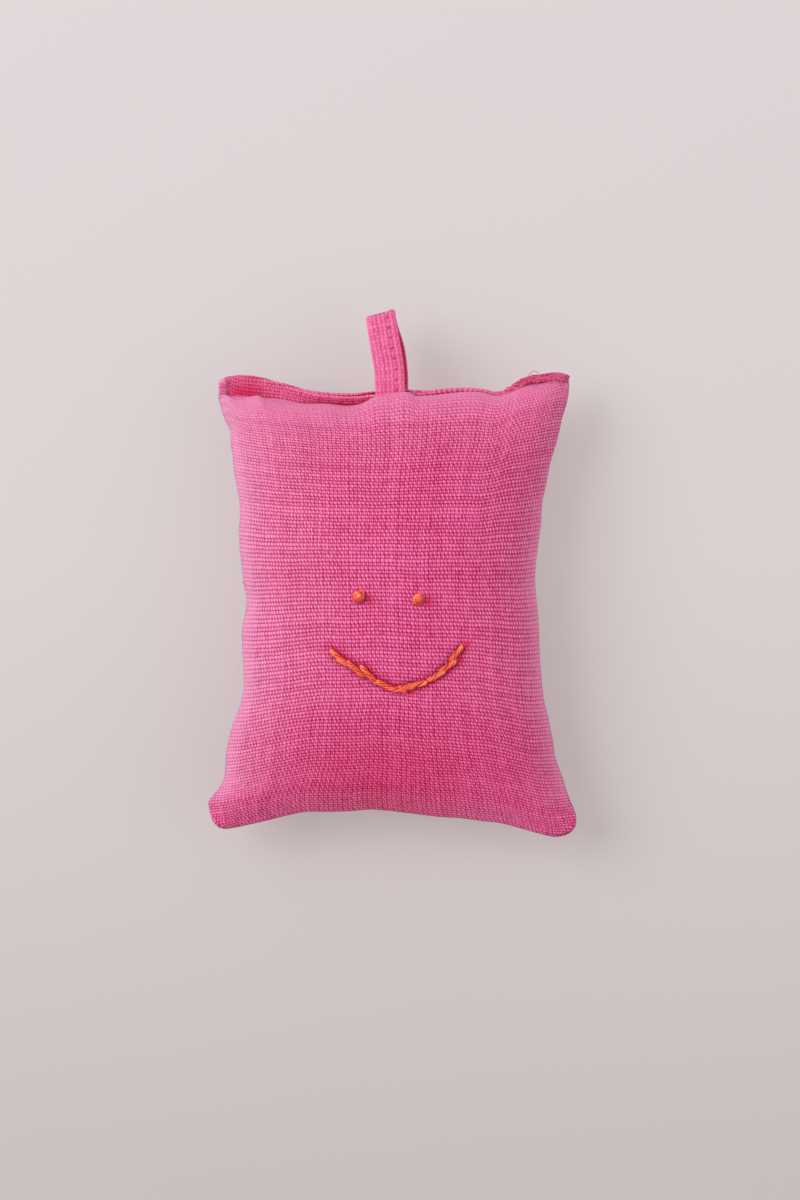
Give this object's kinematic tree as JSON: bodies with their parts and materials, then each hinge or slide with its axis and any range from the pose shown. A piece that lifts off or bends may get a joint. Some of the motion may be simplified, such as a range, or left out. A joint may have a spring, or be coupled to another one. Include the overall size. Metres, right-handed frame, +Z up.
{
  "type": "lavender sachet",
  "caption": "Small pillow-shaped cotton sachet filled with dried lavender, with a hanging loop in its closing seam and a simple embroidered smile on its front.",
  "frame": {"origin": "middle of the flat patch on the back that the sachet rests on", "axes": "+Z up through the embroidered front, +Y towards the hanging loop, +X to the right seen from the front"},
  "size_m": [0.077, 0.1133, 0.0323],
  "materials": {
    "rose_cotton": "coarse plain weave, matt",
    "rose_tape": "folded strip of the same cotton, matt",
    "sewing_thread": "twisted cotton sewing thread",
    "orange_floss": "stranded embroidery floss, soft sheen",
    "lavender_buds": "dried flower buds, dull"
  },
  "bodies": {
    "sachet": {"front_panel": "rose_cotton", "back_panel": "rose_cotton", "lavender_filling": "lavender_buds", "loop_tails": "rose_tape", "closing_needle_thread": "sewing_thread", "closing_bobbin_thread": "sewing_thread", "seam_needle_thread": "sewing_thread", "seam_bobbin_thread": "sewing_thread", "left_eye_knot": "orange_floss", "right_eye_knot": "orange_floss", "smile_stitch_01": "orange_floss", "smile_stitch_02": "orange_floss", "smile_stitch_03": "orange_floss", "smile_stitch_04": "orange_floss", "smile_stitch_05": "orange_floss", "smile_stitch_06": "orange_floss", "smile_stitch_07": "orange_floss", "smile_stitch_08": "orange_floss", "smile_stitch_09": "orange_floss", "smile_stitch_10": "orange_floss"},
    "loop": {"hanging_loop": "rose_tape", "loop_edge_thread": "sewing_thread"}
  },
  "joints": [
    {"name": "loop_fold", "type": "hinge", "parent": "sachet", "child": "loop", "pos_m": [0, 0.0495, 0.0145], "axis": [1, 0, 0], "range_deg": [-90, 90], "stiffness_Nm_per_rad": 0.0005}
  ]
}
